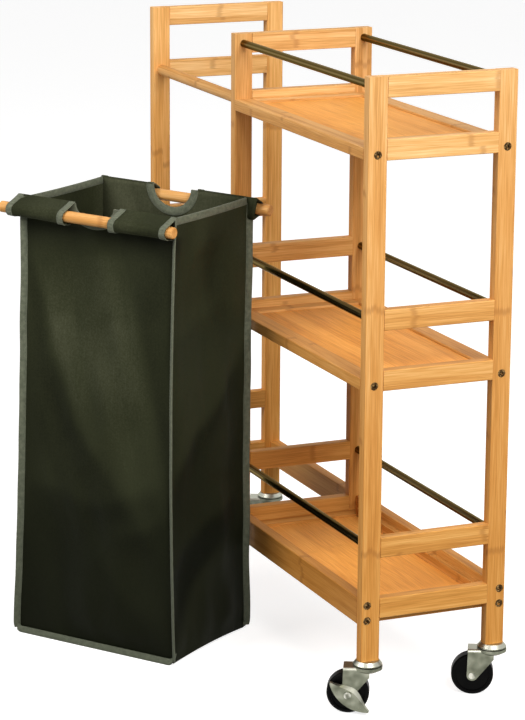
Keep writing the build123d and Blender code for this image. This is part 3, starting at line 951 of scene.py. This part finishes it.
studio = {
    "cameraFromPost": Vector((3.0518, -1.4378, 1.3003)),  # from the near front post's outer corner
    "azimuth": math.radians(66.904),
    "elevation": math.radians(14.031),
    "roll": math.radians(0.3385),
    "lens": 142.715,
    "sensor": 36.0,
    "floorHalf": 9.0,
    "floorWhite": 0.62,
    "floorBounce": 0.24,  # what the floor throws back on the object
    "floorGlow": 0.76,  # only the camera sees it
    "skyLight": 0.26,
}
lamps = {  # place from the cart's middle, size in metres, power in watts, colour
    "key": ((2.3, 0.1, 1.35), 1.2, 60.0, (1.0, 0.97, 0.93)),
    "front": ((0.3, -2.1, 1.6), 1.2, 42.0, (1.0, 0.98, 0.95)),
    "back": ((-1.2, 2.6, 2.4), 2.0, 24.0, (1.0, 1.0, 1.0)),
}


def cameraBack(azimuth, elevation):  # from the object towards the camera
    flat = math.cos(elevation)
    return Vector((math.sin(azimuth) * flat, -math.cos(azimuth) * flat, math.sin(elevation)))


def setCamera():
    postLow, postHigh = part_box("right_front_post")
    data = bpy.data.cameras.new("photoView")
    data.sensor_width = studio["sensor"]
    data.lens = studio["lens"]
    data.clip_end = 100.0
    back = cameraBack(studio["azimuth"], studio["elevation"])
    right = Vector((0, 0, 1)).cross(back).normalized()
    above = back.cross(right)
    cosine, sine = math.cos(studio["roll"]), math.sin(studio["roll"])
    turned = Matrix((cosine * right + sine * above, cosine * above - sine * right, back)).transposed()
    camera = bpy.data.objects.new("photoView", data)
    bpy.context.scene.collection.objects.link(camera)
    spot = Vector((postHigh.x, postLow.y, 0.0)) + studio["cameraFromPost"]
    camera.matrix_world = Matrix.Translation(spot) @ turned.to_4x4()
    bpy.context.scene.camera = camera


def seenWhite(nodes):  # 1 where the eye, a mirror or glass looks
    path = nodes.add("ShaderNodeLightPath", {}, {}, "Is Camera Ray")
    return path.most(path.also("Is Glossy Ray")).most(path.also("Is Transmission Ray")), path


def setFloor():
    mesh = bpy.data.meshes.new("studioFloor")
    half = studio["floorHalf"]
    square = [(-half, -half, 0), (half, -half, 0), (half, half, 0), (-half, half, 0)]
    mesh.from_pydata(square, [], [(0, 1, 2, 3)])
    floor = bpy.data.objects.new("studioFloor", mesh)
    bpy.context.scene.collection.objects.link(floor)
    paint = Paint("paleFloor", {"Roughness": 0.9, "Specular IOR Level": 0.1})
    seen, path = seenWhite(paint)
    white, bounce = ((studio[name],) * 3 + (1.0,) for name in ("floorWhite", "floorBounce"))
    paint.dress({"Base Color": paint.mix(path.also("Is Diffuse Ray"), white, bounce)})
    shine = {"Color": (1, 1, 1, 1), "Strength": seen * studio["floorGlow"]}
    glow = paint.add("ShaderNodeEmission", {}, shine)
    surface = paint.add("ShaderNodeAddShader", {}, {0: Sock(paint, paint.shader.outputs[0]), 1: glow})
    paint.tree.links.new(surface.socket, paint.tree.nodes["Material Output"].inputs["Surface"])
    mesh.materials.append(paint.material)


def setSky():
    world = bpy.data.worlds.new("studioSky")
    bpy.context.scene.world = world
    world.use_nodes = True
    nodes = Nodes(world.node_tree)
    seen, _ = seenWhite(nodes)
    strength = seen * (1.0 - studio["skyLight"]) + studio["skyLight"]
    sky = world.node_tree.nodes["Background"]
    sky.inputs["Color"].default_value = (1, 1, 1, 1)
    nodes.feed(sky.inputs["Strength"], strength)


def setLamps():
    postLow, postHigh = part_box("middle_front_post")
    aim = Vector((postHigh.x, postLow.y, 0.4))
    for name, (place, size, power, colour) in lamps.items():
        data = bpy.data.lights.new(name, "AREA")
        data.size = size
        data.energy = power
        data.color = colour
        lamp = bpy.data.objects.new(name, data)
        bpy.context.scene.collection.objects.link(lamp)
        spot = aim + Vector(place)
        turned = (aim - spot).to_track_quat("-Z", "Y").to_matrix().to_4x4()
        lamp.matrix_world = Matrix.Translation(spot) @ turned


setCamera()
setFloor()
setSky()
setLamps()
bpy.context.scene.view_settings.view_transform = "Standard"
print("studio set")
